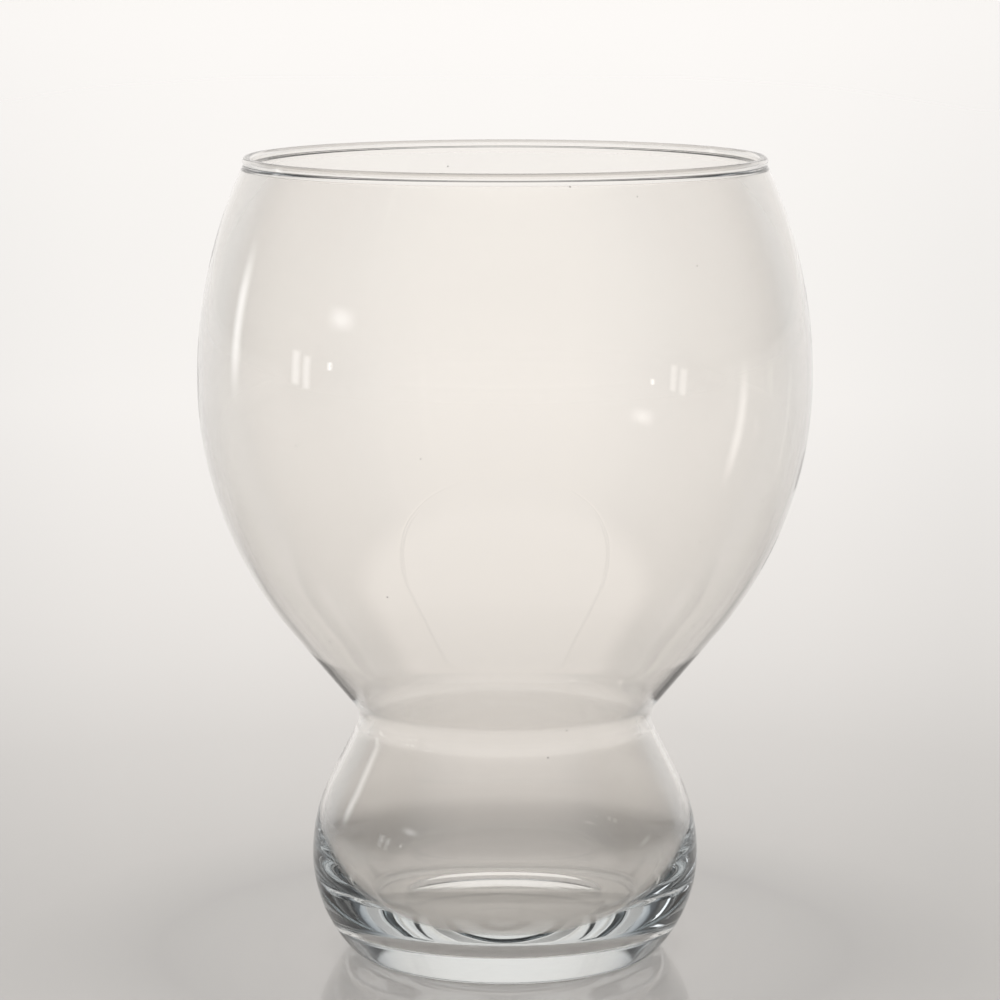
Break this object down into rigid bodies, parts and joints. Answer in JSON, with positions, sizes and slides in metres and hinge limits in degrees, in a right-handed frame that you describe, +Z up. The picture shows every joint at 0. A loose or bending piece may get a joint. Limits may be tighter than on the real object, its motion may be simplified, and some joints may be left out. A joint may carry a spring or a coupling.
{
  "type": "rose bowl vase",
  "caption": "Clear glass rose bowl vase: a wide round bowl with a beaded rim on a smaller round foot bulb with a thick base, joined by an open waist; holds water and stems.",
  "frame": {"origin": "on the vertical axis, at the middle of the plane that the standing ring rests on", "axes": "+Z up along the axis of revolution, from the standing ring to the rim; X and Y are any two level directions, with the picture taken from -Y"},
  "size_m": [0.183, 0.183, 0.24],
  "materials": {
    "clear_glass": "clear colourless soda-lime glass, smooth and fire-polished, with a faint cool tint where it is thick"
  },
  "bodies": {
    "root": {"rim_bead": "clear_glass", "bowl": "clear_glass", "waist": "clear_glass", "bulb": "clear_glass", "base": "clear_glass"}
  },
  "joints": []
}
